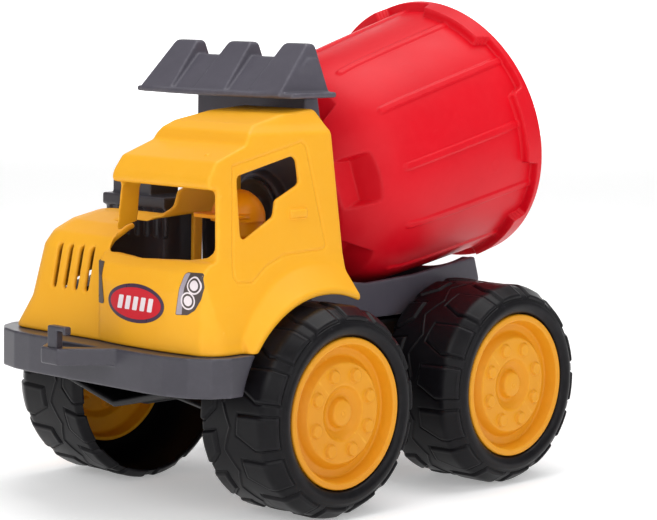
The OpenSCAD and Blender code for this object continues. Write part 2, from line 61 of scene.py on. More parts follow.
MM = 0.001
TAU = 2 * math.pi
JOINTS = {j["name"]: j for j in frame["joints"]}
FRONT_AXLE = np.array(JOINTS["front_axle_spin"]["pos_m"]) / MM
REAR_AXLE = np.array(JOINTS["rear_axle_spin"]["pos_m"]) / MM
DRUM_FRONT = np.array(JOINTS["drum_spin"]["pos_m"]) / MM
DRUM_AXIS = np.array(JOINTS["drum_spin"]["axis"], float)
DY = FRONT_AXLE[1]               # the shapes are laid out from the front axle


def low_high(node):
    """A CAD node's box in millimetres."""
    low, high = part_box(node)
    return np.array(low) / MM, np.array(high) / MM


# ---------------------------------------------------------------- materials

def srgb(r, g, b):
    """Linear colour of an 8-bit screen colour."""
    def linear(c):
        c /= 255
        return c / 12.92 if c <= 0.04045 else ((c + 0.055) / 1.055) ** 2.4
    return (linear(r), linear(g), linear(b), 1)


class Nodes:
    """A short way to write a node tree."""

    def __init__(self, name):
        self.material = bpy.data.materials.new(name)
        self.material.use_nodes = True
        self.tree = self.material.node_tree
        self.shader = self.tree.nodes["Principled BSDF"]
        self.place = self.tree.nodes.new("ShaderNodeTexCoord").outputs["Object"]

    def link(self, a, b):
        self.tree.links.new(a, b)

    def noise(self, scale, detail=3, rough=0.5, stretch=None):
        """Noise of the object's own space; scale is in waves per metre."""
        node = self.tree.nodes.new("ShaderNodeTexNoise")
        node.inputs["Scale"].default_value = scale
        node.inputs["Detail"].default_value = detail
        node.inputs["Roughness"].default_value = rough
        source = self.place
        if stretch:
            mapping = self.tree.nodes.new("ShaderNodeMapping")
            mapping.inputs["Scale"].default_value = stretch
            self.link(source, mapping.inputs["Vector"])
            source = mapping.outputs["Vector"]
        self.link(source, node.inputs["Vector"])
        return node.outputs["Fac"]

    def ramp(self, source, low, high, out_low, out_high):
        """source from low..high, clamped, to out_low..out_high."""
        node = self.tree.nodes.new("ShaderNodeMapRange")
        for key, value in zip(("From Min", "From Max", "To Min", "To Max"), (low, high, out_low, out_high)):
            node.inputs[key].default_value = value
        self.link(source, node.inputs["Value"])
        return node.outputs["Result"]

    def mix(self, factor, a, b, how="MIX"):
        """Colour mix; a and b are colours or sockets."""
        node = self.tree.nodes.new("ShaderNodeMix")
        node.data_type = "RGBA"
        node.blend_type = how
        sockets = [s for s in node.inputs if s.type == "RGBA"]
        for socket, value in zip(sockets, (a, b)):
            if isinstance(value, bpy.types.NodeSocket):
                self.link(value, socket)
            else:
                socket.default_value = value
        self.link(factor, node.inputs[0])
        return [s for s in node.outputs if s.type == "RGBA"][0]

    def bump(self, height, distance, strength=1.0, after=None):
        node = self.tree.nodes.new("ShaderNodeBump")
        node.inputs["Distance"].default_value = distance
        node.inputs["Strength"].default_value = strength
        self.link(height, node.inputs["Height"])
        if after:
            self.link(after, node.inputs["Normal"])
        return node.outputs["Normal"]

    def edges(self, low=0.49, high=0.60):
        """1 on convex edges and 0 elsewhere."""
        node = self.tree.nodes.new("ShaderNodeNewGeometry")
        return self.ramp(node.outputs["Pointiness"], low, high, 0, 1)


def plastic(name, colour, shade, rough, grain=0.000012, grain_scale=2600, edge_tone=None, subsurface=0.0,
            scuffs=0.05, specular=0.5):
    """Moulded plastic: flow-tone variation, fine skin grain, faint scuffs and paler convex edges in noisy patches."""
    n = Nodes(name)
    flow = n.noise(16, 4, 0.55)
    tone = n.mix(n.ramp(flow, 0.35, 0.7, 0, 1), colour, shade)
    speck = n.ramp(n.noise(900, 2, 0.6), 0.62, 0.8, 0, 0.10)
    tone = n.mix(speck, tone, shade)
    # a paler colour on convex edges (pointiness), only where a noise pattern lets it through
    if edge_tone:
        edge_patch = n.tree.nodes.new("ShaderNodeMath")
        edge_patch.operation = "MULTIPLY"
        n.link(n.edges(), edge_patch.inputs[0])
        n.link(n.ramp(n.noise(240, 4, 0.7), 0.42, 0.66, 0.05, 0.55), edge_patch.inputs[1])
        tone = n.mix(edge_patch.outputs[0], tone, edge_tone)
    n.link(tone, n.shader.inputs["Base Color"])
    patch = n.ramp(n.noise(60, 5, 0.65), 0.3, 0.7, rough - scuffs, rough + scuffs)
    n.link(patch, n.shader.inputs["Roughness"])
    fine = n.bump(n.noise(grain_scale, 2, 0.6), grain)
    swell = n.bump(n.noise(70, 2, 0.4), 0.00007, 0.5, after=fine)
    n.link(swell, n.shader.inputs["Normal"])
    n.shader.inputs["Specular IOR Level"].default_value = specular
    if subsurface:
        n.shader.inputs["Subsurface Weight"].default_value = subsurface
        n.shader.inputs["Subsurface Radius"].default_value = (1.0, 0.5, 0.15)
        n.shader.inputs["Subsurface Scale"].default_value = 0.0015
    return n.material


def drawn_steel(name):
    n = Nodes(name)
    streak = n.noise(420, 4, 0.7, stretch=(0.05, 1, 1))
    n.link(n.mix(streak, (0.42, 0.43, 0.45, 1), (0.66, 0.67, 0.69, 1)), n.shader.inputs["Base Color"])
    n.link(n.ramp(streak, 0.3, 0.7, 0.28, 0.42), n.shader.inputs["Roughness"])
    n.link(n.bump(streak, 0.00001), n.shader.inputs["Normal"])
    n.shader.inputs["Metallic"].default_value = 1
    return n.material


def print_film(name, colour, shade, rough=0.32):
    """Printed sticker film with a faint halftone and a soft gradient."""
    n = Nodes(name)
    dots = n.ramp(n.noise(3200, 1, 0.5), 0.45, 0.6, 0, 0.18)
    tone = n.mix(n.ramp(n.noise(55, 2, 0.4), 0.3, 0.7, 0, 1), colour, shade)
    n.link(n.mix(dots, tone, shade), n.shader.inputs["Base Color"])
    n.link(n.ramp(n.noise(150, 3, 0.6), 0.3, 0.7, rough - 0.06, rough + 0.08), n.shader.inputs["Roughness"])
    n.link(n.bump(n.noise(260, 2, 0.5), 0.00003, 0.5), n.shader.inputs["Normal"])
    n.shader.inputs["Specular IOR Level"].default_value = 0.35
    return n.material


YELLOW = plastic("yellow_plastic", srgb(240, 172, 30), srgb(236, 165, 24), 0.48, subsurface=0.04,
                 edge_tone=srgb(248, 196, 84), specular=0.3)
RIM_YELLOW = plastic("rim_plastic", srgb(222, 150, 18), srgb(214, 140, 14), 0.46, subsurface=0.02,
                     edge_tone=srgb(238, 178, 62), specular=0.3)
AMBER = plastic("driver_plastic", srgb(255, 168, 6), srgb(252, 156, 4), 0.42, subsurface=0.05,
                edge_tone=srgb(255, 184, 60), specular=0.3)
RED = plastic("drum_plastic", srgb(218, 10, 30), srgb(208, 4, 26), 0.40, grain=0.000008,
              edge_tone=srgb(234, 60, 68), specular=0.2)
GREY = plastic("grey_plastic", srgb(80, 77, 87), srgb(72, 69, 79), 0.44, grain=0.00002, grain_scale=3000,
               edge_tone=srgb(128, 124, 134), specular=0.4)
BUMPER_GREY = plastic("bumper_plastic", srgb(62, 60, 68), srgb(54, 52, 60), 0.33, edge_tone=srgb(112, 108, 118),
                      specular=0.45)
DARK_GREY = plastic("dark_grey_plastic", srgb(52, 49, 56), srgb(44, 42, 48), 0.36, edge_tone=srgb(104, 100, 110))
BLACK = plastic("chassis_plastic", srgb(20, 19, 21), srgb(14, 13, 15), 0.42, edge_tone=srgb(60, 58, 62), specular=0.3)
TYRE = plastic("tyre_plastic", srgb(15, 14, 17), srgb(10, 9, 12), 0.36, grain=0.00002, grain_scale=1800,
               edge_tone=srgb(50, 48, 54), scuffs=0.06, specular=0.16)
STEEL = drawn_steel("steel")
FILM_RED = print_film("film_red", srgb(206, 12, 34), srgb(190, 6, 30), 0.42)
FILM_BORDER = print_film("film_border", srgb(72, 48, 72), srgb(54, 34, 56))
FILM_WHITE = print_film("film_white", srgb(238, 226, 228), srgb(222, 208, 212))
FILM_DARK = print_film("film_dark", srgb(84, 72, 68), srgb(66, 56, 54))
FILM_PALE = print_film("film_pale", srgb(170, 160, 170), srgb(150, 142, 152))


# ---------------------------------------------------------------- meshes

def new_piece(name, points, faces, material, body, replaced=()):
    """A mesh piece from points in millimetres and an (n, 4) array of faces."""
    mesh = bpy.data.meshes.new(name)
    points = np.asarray(points, float) * MM
    faces = np.asarray(faces, np.int64)
    loops = faces.ravel()
    sizes = np.full(len(faces), faces.shape[1])
    mesh.vertices.add(len(points))
    mesh.vertices.foreach_set("co", points.astype(np.float32).ravel())
    mesh.loops.add(len(loops))
    mesh.loops.foreach_set("vertex_index", loops.astype(np.int32))
    mesh.polygons.add(len(sizes))
    mesh.polygons.foreach_set("loop_start", (np.cumsum(sizes) - sizes).astype(np.int32))
    mesh.polygons.foreach_set("loop_total", sizes.astype(np.int32))
    mesh.update(calc_edges=True)
    mesh.validate()
    mesh.polygons.foreach_set("use_smooth", np.ones(len(mesh.polygons), bool))
    piece = bpy.data.objects.new(name, mesh)
    bpy.context.scene.collection.objects.link(piece)
    mesh.materials.append(material)
    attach(piece, body)
    if replaced:
        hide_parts(*replaced)
    return piece


def smoothstep(x, low, high):
    t = np.clip((x - low) / (high - low), 0, 1)
    return t * t * (3 - 2 * t)


def rounded(corners, step=0.5, closed=True):
    """A line through (a, b, radius) corners, each rounded by an arc, as evenly spaced points."""
    c = np.array([p[:2] for p in corners], float)
    radii = [p[2] if len(p) > 2 else 0 for p in corners]
    line = []
    count = len(c)
    for i in range(count):
        if not closed and i in (0, count - 1):
            line.append(c[i])
            continue
        before, here, after = c[i - 1], c[i], c[(i + 1) % count]
        u, v = before - here, after - here
        lu, lv = np.linalg.norm(u), np.linalg.norm(v)
        u, v = u / lu, v / lv
        half = math.acos(np.clip(u @ v, -1, 1)) / 2
        if radii[i] <= 0 or half > 1.55:
            line.append(here)
            continue
        reach = min(radii[i] / math.tan(half), 0.49 * lu, 0.49 * lv)
        radius = reach * math.tan(half)
        centre = here + (u + v) / np.linalg.norm(u + v) * radius / math.sin(half)
        start, end = here + u * reach - centre, here + v * reach - centre
        turn = math.pi - 2 * half
        for k in range(7):
            t = k / 6
            w = (math.sin((1 - t) * turn) * start + math.sin(t * turn) * end) / math.sin(turn)
            line.append(centre + w)
    line = np.array(line)
    if closed:
        line = np.vstack([line, line[:1]])
    lengths = np.r_[0, np.cumsum(np.linalg.norm(np.diff(line, axis=0), axis=1))]
    keep = np.r_[True, np.diff(lengths) > 1e-6]
    line, lengths = line[keep], lengths[keep]
    n = max(8, int(lengths[-1] / step))
    at = np.linspace(0, lengths[-1], n + 1)
    out = np.stack([np.interp(at, lengths, line[:, k]) for k in range(2)], axis=1)
    return (out[:-1] if closed else out), (at[:-1] if closed else at)


def lathe(outline, turns, relief=None, closed=True):
    """Turns an outline of (along, radius) points about an axis.

    relief(along, radius, angle, where) raises the surface along its own normal; where is the distance along
    the outline. Returns points as (along, across, up) and quads.
    """
    (line, where) = outline
    if closed:
        tangent = np.roll(line, -1, axis=0) - np.roll(line, 1, axis=0)
    else:
        tangent = np.gradient(line, axis=0)
    tangent /= np.linalg.norm(tangent, axis=1)[:, None]
    normal = np.stack([tangent[:, 1], -tangent[:, 0]], axis=1)
    angle = np.arange(turns) * TAU / turns
    along = line[:, 0][:, None] + 0 * angle
    radius = line[:, 1][:, None] + 0 * angle
    if relief:
        height = relief(along, radius, angle[None, :] + 0 * along, where[:, None] + 0 * along)
        along = along + normal[:, 0][:, None] * height
        radius = radius + normal[:, 1][:, None] * height
    points = np.stack([along, radius * np.cos(angle), radius * np.sin(angle)], axis=2).reshape(-1, 3)
    n = len(line)
    rows = np.arange(n if closed else n - 1)
    i, j = np.meshgrid(rows, np.arange(turns), indexing="ij")
    i2, j2 = (i + 1) % n, (j + 1) % turns
    quads = np.stack([i * turns + j, i * turns + j2, i2 * turns + j2, i2 * turns + j], axis=2).reshape(-1, 4)
    return points, quads


def loose_parts(node):
    """The boxes of the separate solids of a CAD node, in millimetres, as (low, high) pairs."""
    mesh = frame["nodes"][node].data
    co = np.array([v.co[:] for v in mesh.vertices]) / MM
    key = {}
    same = np.array([key.setdefault(tuple(np.round(p, 3)), i) for i, p in enumerate(co)])
    parent = list(range(len(co)))

    def find(a):
        while parent[a] != a:
            parent[a] = parent[parent[a]]
            a = parent[a]
        return a

    for edge in mesh.edges:
        a, b = find(same[edge.vertices[0]]), find(same[edge.vertices[1]])
        parent[a] = b
    groups = {}
    for i in range(len(co)):
        groups.setdefault(find(same[i]), []).append(i)
    boxes = [(co[g].min(0), co[g].max(0)) for g in groups.values()]
    return sorted(boxes, key=lambda b: (round(b[0][1], 1), round(b[0][0], 1)))


# ---------------------------------------------------------------- distance fields

BAND = 6                         # reach of the distance field, in voxels


class Field:
    """Distance field of CAD nodes, in millimetres, negative inside."""

    def __init__(self, nodes, voxel):
        self.voxel = voxel
        points, triangles, base = [], [], 0
        for node in nodes:
            mesh = frame["nodes"][node].data
            mesh.calc_loop_triangles()
            co = np.zeros(len(mesh.vertices) * 3, np.float32)
            mesh.vertices.foreach_get("co", co)
            tri = np.zeros(len(mesh.loop_triangles) * 3, np.int32)
            mesh.loop_triangles.foreach_get("vertices", tri)
            points.append(co.reshape(-1, 3) / MM)
            triangles.append(tri.reshape(-1, 3) + base)
            base += len(mesh.vertices)
        points = np.vstack(points).astype(np.float32)
        triangles = np.vstack(triangles).astype(np.uint32)
        self.scale = openvdb.createLinearTransform(voxel)
        grid = openvdb.FloatGrid.createLevelSetFromPolygons(
            points, triangles=triangles, transform=self.scale, halfWidth=BAND)
        self.low = np.floor(points.min(0) / voxel).astype(int) - BAND - 2
        size = np.ceil(points.max(0) / voxel).astype(int) + BAND + 3 - self.low
        self.values = np.zeros(size, np.float32)
        grid.copyToArray(self.values, ijk=tuple(int(k) for k in self.low))

    def axes(self):
        """x, y and z of the voxels, each shaped to broadcast over the field."""
        out = []
        for k in range(3):
            shape = [1, 1, 1]
            shape[k] = -1
            along = (np.arange(self.values.shape[k]) + self.low[k]) * self.voxel
            out.append(along.astype(np.float32).reshape(shape))
        return out

    def soften(self, radius):
        """Blurs the field, which rounds every edge by about radius."""
        sigma = radius / self.voxel
        reach = int(math.ceil(2.5 * sigma))
        taps = np.exp(-0.5 * (np.arange(-reach, reach + 1) / sigma) ** 2)
        taps /= taps.sum()
        for axis in range(3):
            padded = np.pad(self.values, [(reach, reach) if k == axis else (0, 0) for k in range(3)], mode="edge")
            total = np.zeros_like(self.values)
            for k, weight in enumerate(taps):
                window = [slice(None)] * 3
                window[axis] = slice(k, k + self.values.shape[axis])
                total += np.float32(weight) * padded[tuple(window)]
            self.values = total
        return self

    def add(self, other, blend=0.6):
        """Joins another field on, with a small fillet."""
        h = np.clip(0.5 + 0.5 * (self.values - other) / blend, 0, 1).astype(np.float32)
        self.values = self.values + (other - self.values) * h - blend * h * (1 - h)

    def mesh(self):
        limit = np.float32(BAND * self.voxel)
        grid = openvdb.FloatGrid(limit)
        grid.copyFromArray(np.clip(self.values, -limit, limit), ijk=tuple(int(k) for k in self.low), tolerance=1e-5)
        grid.transform = self.scale
        points, quads = grid.convertToQuads(0.0)
        return points, quads


def box_field(x, y, z, low, high, radius=0.5):
    """Distance field of a box with rounded edges."""
    outside, inside = 0, None
    for value, a, b in zip((x, y, z), low, high):
        d = np.abs(value - (a + b) / 2) - ((b - a) / 2 - radius)
        outside = outside + np.maximum(d, 0) ** 2
        inside = d if inside is None else np.maximum(inside, d)
    return (np.sqrt(outside) + np.minimum(inside, 0) - radius).astype(np.float32)


def line_distance(a, b, corners, closed=False):
    """Distance in a plane from (a, b) to a run of straight lines."""
    best = None
    pairs = list(zip(corners[:-1], corners[1:])) + ([(corners[-1], corners[0])] if closed else [])
    for (a0, b0), (a1, b1) in pairs:
        da, db = a1 - a0, b1 - b0
        t = np.clip(((a - a0) * da + (b - b0) * db) / (da * da + db * db), 0, 1)
        d = np.hypot(a - a0 - t * da, b - b0 - t * db)
        best = d if best is None else np.minimum(best, d)
    return best


def moulded(name, nodes, voxel, radius, material, body, edit=None):
    """A moulded part from CAD nodes: rounded edges, then its own edits."""
    field = Field(nodes, voxel).soften(radius)
    if edit:
        edit(field, *field.axes())
    points, quads = field.mesh()
    return new_piece(name, points, quads, material, body, nodes)


# ---------------------------------------------------------------- wheels

TYRE_LOW, TYRE_HIGH = low_high("tyre_front_left")
RIM_LOW, RIM_HIGH = low_high("rim_front_left")
FACE = TYRE_HIGH[0]              # outer face of the tyres
TYRE_R = (TYRE_HIGH[2] - TYRE_LOW[2]) / 2
TYRE_W = TYRE_HIGH[0] - TYRE_LOW[0]
RIM_R = (RIM_HIGH[2] - RIM_LOW[2]) / 2
RIM_FACE = RIM_HIGH[0]
HUB_END = RIM_LOW[0]
BLOCKS = 14                      # tread blocks round each half of a tyre
BLOCK_RISE = 0.75
PITCH = TAU * TYRE_R / BLOCKS


def convex(u, v, corners):
    """Signed distance-like measure to a convex outline given clockwise or anticlockwise, negative inside."""
    centre = np.mean(corners, axis=0)
    best = None
    for (u0, v0), (u1, v1) in zip(corners, corners[1:] + corners[:1]):
        n = np.array([v1 - v0, u0 - u1], float)
        n /= np.linalg.norm(n)
        if (centre[0] - u0) * n[0] + (centre[1] - v0) * n[1] > 0:
            n = -n
        d = (u - u0) * n[0] + (v - v0) * n[1]
        best = d if best is None else np.maximum(best, d)
    return best


OUTER_BLOCK = [(1.5, -7.2), (24.5, -6.4), (25.5, 3.0), (14.5, 8.6), (1.5, 8.2)]
INNER_BLOCK = [(38.5, -8.0), (53.0, -5.0), (53.0, 10.5), (45.0, 9.0), (38.5, 2.5)]
TREAD_FROM, TREAD_TO = 8.0, 66.0        # where the tread starts and ends along the tyre's outline


def tyre_relief(phase):
    """Tread blocks with a sunk line round each, a zigzag seam between the halves and moulding marks."""
    def relief(along, radius, angle, where):
        v = (angle * BLOCKS / TAU + phase) % 1.0
        on = where - 10.0
        height = np.full(along.shape, -BLOCK_RISE)
        for d in (convex(on, (v - 0.5) * PITCH, OUTER_BLOCK),
                  convex(on, ((v + 0.5) % 1.0 - 0.5) * PITCH, INNER_BLOCK)):
            height += BLOCK_RISE * (1 - smoothstep(d, -0.7, 0.1))
            height -= 0.55 * np.exp(-((d - 0.55) / 0.34) ** 2)
            height += 0.10 * np.exp(-((d + 1.5) / 0.5) ** 2)
        zigzag = 31.5 + 2.4 * (np.abs(((v * 2) % 2.0) - 1.0) * 2 - 1)
        height += 0.5 * np.exp(-((on - zigzag) / 0.55) ** 2)
        tread = smoothstep(where, TREAD_FROM, TREAD_FROM + 2) * (1 - smoothstep(where, TREAD_TO - 2, TREAD_TO))
        rings = 0.12 * np.exp(-((radius - RIM_R - 4.6) / 0.3) ** 2) * (along > -3)
        return height * tread + rings
    return relief


def tyre_outline():
    """From the bead over the side wall and tread to the inner edge, and back along the inside."""
    w, r = TYRE_W, TYRE_R
    return rounded([
        (-4.6, RIM_R + 0.15, 0.4), (-1.3, RIM_R + 1.0, 1.2), (0, RIM_R + 3.4, 2.0), (0, r - 5.2, 7.0),
        (-8.0, r, 7.0), (3.4 - w, r, 3.0), (0.15 - w, r - 3.2, 0.8), (1.2 - w, r - 4.6, 0.8),
        (4.5 - w, r - 3.2, 3.0), (-9.5, r - 3.2, 4.0), (-4.2, RIM_R + 6.0, 4.0), (-8.0, RIM_R + 0.3, 0.6)
    ], step=0.34)


LUGS = 8
LUG_RING = 17.9
LUG_R = 2.9
LUG_TURN = math.radians(20)
DISC_R = 22.6
DISC, BOWL, RING = -2.2, -5.5, -6.1     # depth of the lug disc, of the bowl round the cap and of the sunk ring


def rim_relief(along, radius, angle, where):
    """Eight round lugs on the disc with a fine flash line round each, and a mould pip on the cap."""
    turn = (angle - LUG_TURN) / TAU * LUGS
    middle = (np.round(turn) / LUGS) * TAU + LUG_TURN
    d = np.hypot(radius * np.cos(angle - middle) - LUG_RING, radius * np.sin(angle - middle))
    front = (along > -9) & (radius < DISC_R) & (radius > 12.6)
    lug = 1.5 * (1 - smoothstep(d, LUG_R - 0.25, LUG_R + 0.25)) - 0.12 * (1 - smoothstep(d, 0, LUG_R - 0.5))
    flash = 0.10 * np.exp(-((d - LUG_R - 0.8) / 0.25) ** 2)
    pip = 0.18 * np.exp(-((radius - 1.0) / 0.35) ** 2) * (radius < 2.2) * (along > -4)
    return np.where(front, lug - flash, 0) - pip


def rim_outline():
    """From the hub cap's middle over the bowl, disc, ring and lip, and back along the inside to the hub."""
    r = RIM_R
    return rounded([
        (DISC + 0.45, 0.02, 0), (DISC + 0.35, 2.6, 8), (DISC, 5.6, 1.2), (BOWL + 0.4, 6.9, 0.8), (BOWL, 8.4, 1.4),
        (BOWL + 1.7, 11.2, 3.0), (DISC, 12.6, 0.7), (DISC, DISC_R - 0.2, 1.0), (RING, DISC_R + 2.8, 1.4),
        (RING, r - 4.9, 1.0), (-0.3, r - 3.1, 1.2), (0, r - 2.6, 0.8), (0, r - 0.5, 0.5), (-0.6, r, 0.4),
        (-15.8, r, 0.6), (-15.8, r - 1.8, 0.6), (RING - 2.2, r - 2.6, 1.2), (RING - 2.2, DISC_R + 1, 1.2),
        (DISC - 2.4, DISC_R - 1.6, 1.2), (DISC - 2.4, 13.4, 1.2), (BOWL - 2.0, 10.4, 1.2), (BOWL - 2.4, 6.4, 1.0),
        (HUB_END - RIM_FACE, 6.4, 0.5), (HUB_END - RIM_FACE, 2.7, 0.3), (-30.0, 2.7, 0.3), (-30.0, 0.02, 0)
    ], step=0.33, closed=False)


def thinned(where, low, high, every=3):
    """Every row between low and high, and one row in three elsewhere."""
    index = np.arange(len(where))
    return index[((where > low) & (where < high)) | (index % every == 0)]


def place_wheel(points, side, axle, outer):
    """Lathe points to the truck: along the axle from the given outer face."""
    x = (outer + points[:, 0]) * side
    return np.stack([x, axle[1] + points[:, 1], axle[2] + points[:, 2]], axis=1)


def wheel(end, side, phase):
    axle = FRONT_AXLE if end == "front" else REAR_AXLE
    body = end + "_wheels"
    name = f"{end}_{'left' if side > 0 else 'right'}"
    line, where = tyre_outline()
    keep = thinned(where, TREAD_FROM, TREAD_TO)
    points, quads = lathe((line[keep], where[keep]), 840, tyre_relief(phase))
    quads = quads if side < 0 else quads[:, ::-1]
    new_piece("tyre_" + name + "_tread", place_wheel(points, side, axle, FACE), quads, TYRE, body,
              ["tyre_" + name])
    points, quads = lathe(rim_outline(), 400, rim_relief, closed=False)
    quads = quads if side < 0 else quads[:, ::-1]
    new_piece("rim_" + name + "_dish", place_wheel(points, side, axle, RIM_FACE), quads, RIM_YELLOW, body,
              ["rim_" + name])


# ---------------------------------------------------------------- drum

DRUM_L = 118.0
MOUTH_R = 66.3
WALL = 2.6
RIBS = 12
RIB_PHASE = math.radians(7.9)
POCKETS = 6
POCKET_PHASE = math.radians(8)
LIP_L = 1.4                      # depth of the lip inside the mouth
MOULD_MARKS = [(44, 24, 3.2), (54, 17, 2.2), (88, -7, 3.0), (72, 21, 2.6), (62, 52, 3.2), (84, 40, 2.2)]


def drum_body_radius(along):
    """Outer radius of the barrel, a smooth line through its main sizes."""
    ends = np.arange(-30.0, 160.0, 0.5)
    line = np.interp(ends, (-30, 3, 14, 24, 38, 68, 101, 160), (9, 38.4, 48.2, 54.2, 57.3, 59.5, 61.4, 65.0))
    reach = np.arange(-18, 18.5, 0.5)
    bell = np.exp(-0.5 * (reach / 4.5) ** 2)
    smooth = np.convolve(line, bell / bell.sum(), mode="same")
    return np.interp(along, ends, smooth)


COLLAR_AT, BAND_AT = 107.0, 114.0        # where the rim starts, and where it starts in its cut-back stretches
CUT_FROM = math.radians(20.5)            # one end of the first cut-back stretch, which is a twelfth long


def drum_surface(along, angle, inset):
    """Radius of the barrel's wall: outside with inset 0, inside with the wall's thickness."""
    radius = drum_body_radius(along) - inset
    # long ribs with round ends
    turn = np.round((angle - RIB_PHASE) / TAU * RIBS) / RIBS * TAU + RIB_PHASE
    if not inset:
        across = np.hypot((angle - turn) * radius, np.maximum(0, 31.5 - along))
        radius = radius + 0.8 * (1 - smoothstep(across, 1.45, 1.95))
    # flat-floored pockets round the narrow end
    turn = np.round((angle - POCKET_PHASE) / TAU * POCKETS) / POCKETS * TAU + POCKET_PHASE
    across = radius * np.sin(angle - turn)
    floor = 36.6 + 0.16 * along + np.maximum(0, along - 12.5 - inset) * 1.9 - inset
    flat = floor / np.maximum(0.5, np.cos(angle - turn))
    soft = np.minimum(radius, flat) - 0.25 * np.exp(-np.abs(radius - flat) / 0.6)
    corner = 12.4 + inset - np.maximum(0, along - 17) * 0.35
    radius = radius + (soft - radius) * smoothstep(np.abs(across), corner, corner - 1.3)
    if not inset:
        # rim round the mouth, cut back in every other twelfth
        share = np.mod(angle - CUT_FROM, TAU / 6) / (TAU / 12)
        cut = smoothstep(share, 0, 0.09) * (1 - smoothstep(share, 0.91, 1.0))
        start = COLLAR_AT + (BAND_AT - COLLAR_AT) * cut
        radius = radius + (MOUTH_R - radius) * smoothstep(along, start - 0.3, start + 0.5)
        radius = radius - 0.5 * smoothstep(along, DRUM_L - 0.9, DRUM_L) ** 2
        # ejector and flow marks of the mould
        for mark_at, degrees, size in MOULD_MARKS:
            d = np.hypot(along - mark_at, (angle - math.radians(degrees % 360)) * radius)
            radius = radius + 0.08 * np.exp(-((d - size) / 0.4) ** 2)
    return radius


def build_drum():
    turns = 720
    angle = (np.arange(turns) * TAU / turns)[None, :]
    outside = np.concatenate([np.linspace(0, 3, 5), np.arange(3.4, 26, 0.4), np.arange(26.6, 103.5, 0.8),
                              np.arange(103.8, DRUM_L, 0.3), [DRUM_L]])
    inside = np.concatenate([[DRUM_L, DRUM_L - 0.4], np.arange(DRUM_L - 1, 30, -1.5),
                             np.arange(29, WALL, -0.6), [WALL]])
    edge = np.array([0.0, 12.0, 24.0, 33.0])
    rows = [(0 * angle, radius + 0 * angle) for radius in edge]
    for along in outside:
        a = along + 0 * angle
        shoulder = min(1.0, along / 3)
        corner = 4.6 * (1 - math.sqrt(max(0, 1 - (1 - shoulder) ** 2)))
        rows.append((a, drum_surface(a, angle, 0) - corner))
    for along in inside:
        a = along + 0 * angle
        lip = MOUTH_R - WALL
        wall = drum_surface(a, angle, WALL)
        rows.append((a, np.where(a > DRUM_L - LIP_L, lip - 0.4 * (a < DRUM_L - 0.3), wall)))
    for radius in edge[::-1]:
        rows.append((WALL + 0 * angle, radius + 0 * angle))
    along = np.vstack([r[0] for r in rows])
    radius = np.maximum(0.02, np.vstack([r[1] for r in rows]))
    points = np.stack([along, radius * np.cos(angle), radius * np.sin(angle)], axis=2).reshape(-1, 3)
    i, j = np.meshgrid(np.arange(len(rows) - 1), np.arange(turns), indexing="ij")
    j2 = (j + 1) % turns
    quads = np.stack([i * turns + j, (i + 1) * turns + j, (i + 1) * turns + j2, i * turns + j2], axis=2).reshape(-1, 4)
    new_piece("drum_barrel", on_drum_axis(points), quads, RED, "drum", ["drum_shell"])


def on_drum_axis(points):
    """Lathe points (along, across, up) to the truck, along the drum's axis."""
    up = np.array([0, -DRUM_AXIS[2], DRUM_AXIS[1]])
    left = np.array([1.0, 0, 0])
    return DRUM_FRONT + points[:, :1] * DRUM_AXIS + points[:, 1:2] * left + points[:, 2:3] * up


def build_journal():
    """The journal that carries the drum, and the disc that holds it."""
    points, quads = lathe(rounded([
        (1.0, 7.9, 0), (-14.3, 7.9, 0.5), (-14.3, 1.7, 0.3), (-3.0, 1.7, 0)], step=0.5, closed=False), 96)
    new_piece("drum_journal", on_drum_axis(points), quads, RED, "drum")
    points, quads = lathe(rounded([
        (-14.4, 1.8, 0.2), (-14.4, 12.4, 0.7), (-16.8, 12.4, 0.7), (-16.2, 9.5, 0.8), (-16.2, 5.0, 0.8),
        (-16.9, 3.6, 0.5), (-16.9, 1.8, 0.3)], step=0.35), 120)
    new_piece("drum_retaining_disc", on_drum_axis(points), quads, DARK_GREY, "drum", ["drum_retainer"])


# ---------------------------------------------------------------- cab

DOOR = [(-45.5, 157.2), (-2.4, 166.3), (0.4, 164.5), (9.8, 119.9), (8.2, 118.3), (-17.6, 117.2), (-28.0, 113.4),
        (-38.2, 106.9), (-47.0, 107.4), (-48.9, 110.0)]
HANDLE_LOW, HANDLE_HIGH = (-12.9, 133.4), (-2.1, 137.1)
JAMB_LOW, JAMB_HIGH = (-5.5, -9.5, 98), (-3.1, -4.0, 131)      # strip of the far wall behind the bonnet's arch
PIP = (46.5, -48.5, 161.2)       # mould pip on the brow


def cab_wall_x(z):
    """Where the cab's left wall stands at height z."""
    return 63.4 - (z - 116) * 0.0954


def edit_cab(field, x, y, z):
    y = y - DY
    outer = x > cab_wall_x(z) - 1.1
    near = outer & (np.abs(field.values) < 1.6)
    groove = line_distance(y, z, DOOR, closed=True)
    field.values += np.where(near, 0.45 * np.exp(-(groove / 0.5) ** 2), 0).astype(np.float32)
    wall = cab_wall_x((HANDLE_LOW[1] + HANDLE_HIGH[1]) / 2)
    handle = box_field(x, y, z, (wall - 1, HANDLE_LOW[0], HANDLE_LOW[1]), (wall + 1.3, HANDLE_HIGH[0], HANDLE_HIGH[1]),
                       0.6)
    field.add(handle, 0.7)
    # the CAD shell has no such strip: its arch ends further back
    field.add(box_field(x, y, z, JAMB_LOW, JAMB_HIGH, 0.5), 0.5)
    pip = np.sqrt((x - PIP[0]) ** 2 + (y - PIP[1]) ** 2 + (z - PIP[2]) ** 2).astype(np.float32) - 1.3
    field.add(pip, 0.5)


HAT = (28.0, -11.6, 131.0)       # middle of the driver's hard hat
HAT_R = (12.2, 12.6, 12.6)
BRIM_Y, BRIM_Z = -21.0, 132.6    # middle of the brim


